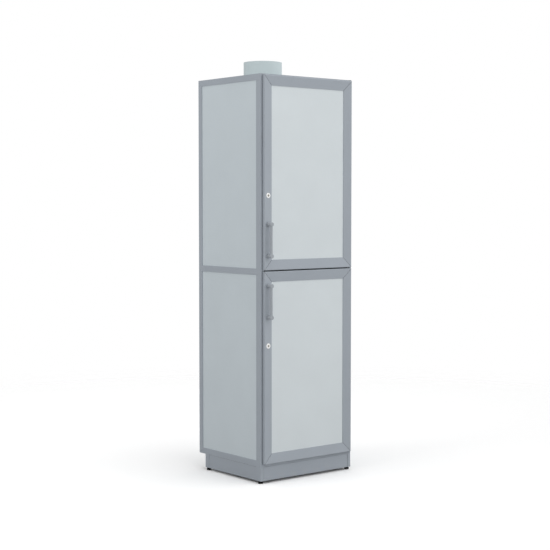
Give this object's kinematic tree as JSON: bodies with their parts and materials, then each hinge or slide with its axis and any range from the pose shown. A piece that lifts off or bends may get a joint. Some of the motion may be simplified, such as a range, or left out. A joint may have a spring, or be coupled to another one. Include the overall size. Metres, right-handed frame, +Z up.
{
  "type": "laboratory storage cabinet",
  "caption": "Tall free-standing laboratory cabinet with an upper and a lower framed door, bar handles, cam locks, levelling feet and a round duct collar on top.",
  "frame": {"origin": "on the floor, under the middle of the overall outline", "axes": "+Z up, +X towards the hinge side, +Y towards the wall, -Y out of the doors"},
  "size_m": [0.6, 0.5656, 2.126],
  "materials": {
    "frame_paint": "satin",
    "door_profile": "satin",
    "panel_laminate": "satin",
    "tray_paint": "satin",
    "collar_paint": "satin",
    "handle_metal": "satin",
    "lock_white": "satin",
    "lock_metal": "satin",
    "foot_black": "matte",
    "insert_plastic": "matte"
  },
  "bodies": {
    "cabinet": {"back_panel": "panel_laminate", "bottom_panel": "tray_paint", "duct_collar": "collar_paint", "foot_inserts": "insert_plastic", "front_bottom_rail": "frame_paint", "front_left_post": "frame_paint", "front_plinth": "frame_paint", "front_right_post": "frame_paint", "front_top_rail": "frame_paint", "left_bottom_rail": "frame_paint", "left_lower_panel": "panel_laminate", "left_middle_rail": "frame_paint", "left_plinth": "frame_paint", "left_top_rail": "frame_paint", "left_upper_panel": "panel_laminate", "lock_strikes": "lock_metal", "lower_shelf": "tray_paint", "middle_panel": "tray_paint", "pivot_lugs": "frame_paint", "rear_bottom_rail": "frame_paint", "rear_left_leg": "frame_paint", "rear_left_post": "frame_paint", "rear_right_leg": "frame_paint", "rear_right_post": "frame_paint", "rear_top_rail": "frame_paint", "right_bottom_rail": "frame_paint", "right_lower_panel": "panel_laminate", "right_middle_rail": "frame_paint", "right_plinth": "frame_paint", "right_top_rail": "frame_paint", "right_upper_panel": "panel_laminate", "shelf_pins": "lock_metal", "top_panel": "panel_laminate", "upper_shelf": "tray_paint"},
    "upper_door": {"upper_door_bottom_rail": "door_profile", "upper_door_corner_cleats": "door_profile", "upper_door_handle_bar": "handle_metal", "upper_door_handle_posts": "handle_metal", "upper_door_left_stile": "door_profile", "upper_door_lock_body": "lock_white", "upper_door_panel": "panel_laminate", "upper_door_right_stile": "door_profile", "upper_door_top_rail": "door_profile"},
    "lower_door": {"lower_door_bottom_rail": "door_profile", "lower_door_corner_cleats": "door_profile", "lower_door_handle_bar": "handle_metal", "lower_door_handle_posts": "handle_metal", "lower_door_left_stile": "door_profile", "lower_door_lock_body": "lock_white", "lower_door_panel": "panel_laminate", "lower_door_right_stile": "door_profile", "lower_door_top_rail": "door_profile"},
    "upper_lock": {"upper_door_lock_cam": "lock_metal", "upper_door_lock_plug": "lock_metal"},
    "lower_lock": {"lower_door_lock_cam": "lock_metal", "lower_door_lock_plug": "lock_metal"},
    "front_left_foot": {"front_left_foot": "foot_black"},
    "front_right_foot": {"front_right_foot": "foot_black"},
    "rear_left_foot": {"rear_left_foot": "foot_black"},
    "rear_right_foot": {"rear_right_foot": "foot_black"}
  },
  "joints": [
    {"name": "upper_door_hinge", "type": "hinge", "parent": "cabinet", "child": "upper_door", "pos_m": [0.283, -0.24575, 1.5415], "axis": [0, 0, 1], "range_deg": [0, 110]},
    {"name": "lower_door_hinge", "type": "hinge", "parent": "cabinet", "child": "lower_door", "pos_m": [0.283, -0.24575, 0.577], "axis": [0, 0, 1], "range_deg": [0, 110]},
    {"name": "upper_lock_turn", "type": "hinge", "parent": "upper_door", "child": "upper_lock", "pos_m": [-0.2625, -0.25375, 1.4305], "axis": [0, 1, 0], "range_deg": [0, 90]},
    {"name": "lower_lock_turn", "type": "hinge", "parent": "lower_door", "child": "lower_lock", "pos_m": [-0.2625, -0.25375, 0.688], "axis": [0, 1, 0], "range_deg": [0, 90]},
    {"name": "front_left_foot_screw", "type": "slide", "parent": "cabinet", "child": "front_left_foot", "axis": [0, 0, -1], "range_m": [0, 0.02]},
    {"name": "front_right_foot_screw", "type": "slide", "parent": "cabinet", "child": "front_right_foot", "axis": [0, 0, -1], "range_m": [0, 0.02]},
    {"name": "rear_left_foot_screw", "type": "slide", "parent": "cabinet", "child": "rear_left_foot", "axis": [0, 0, -1], "range_m": [0, 0.02]},
    {"name": "rear_right_foot_screw", "type": "slide", "parent": "cabinet", "child": "rear_right_foot", "axis": [0, 0, -1], "range_m": [0, 0.02]}
  ]
}
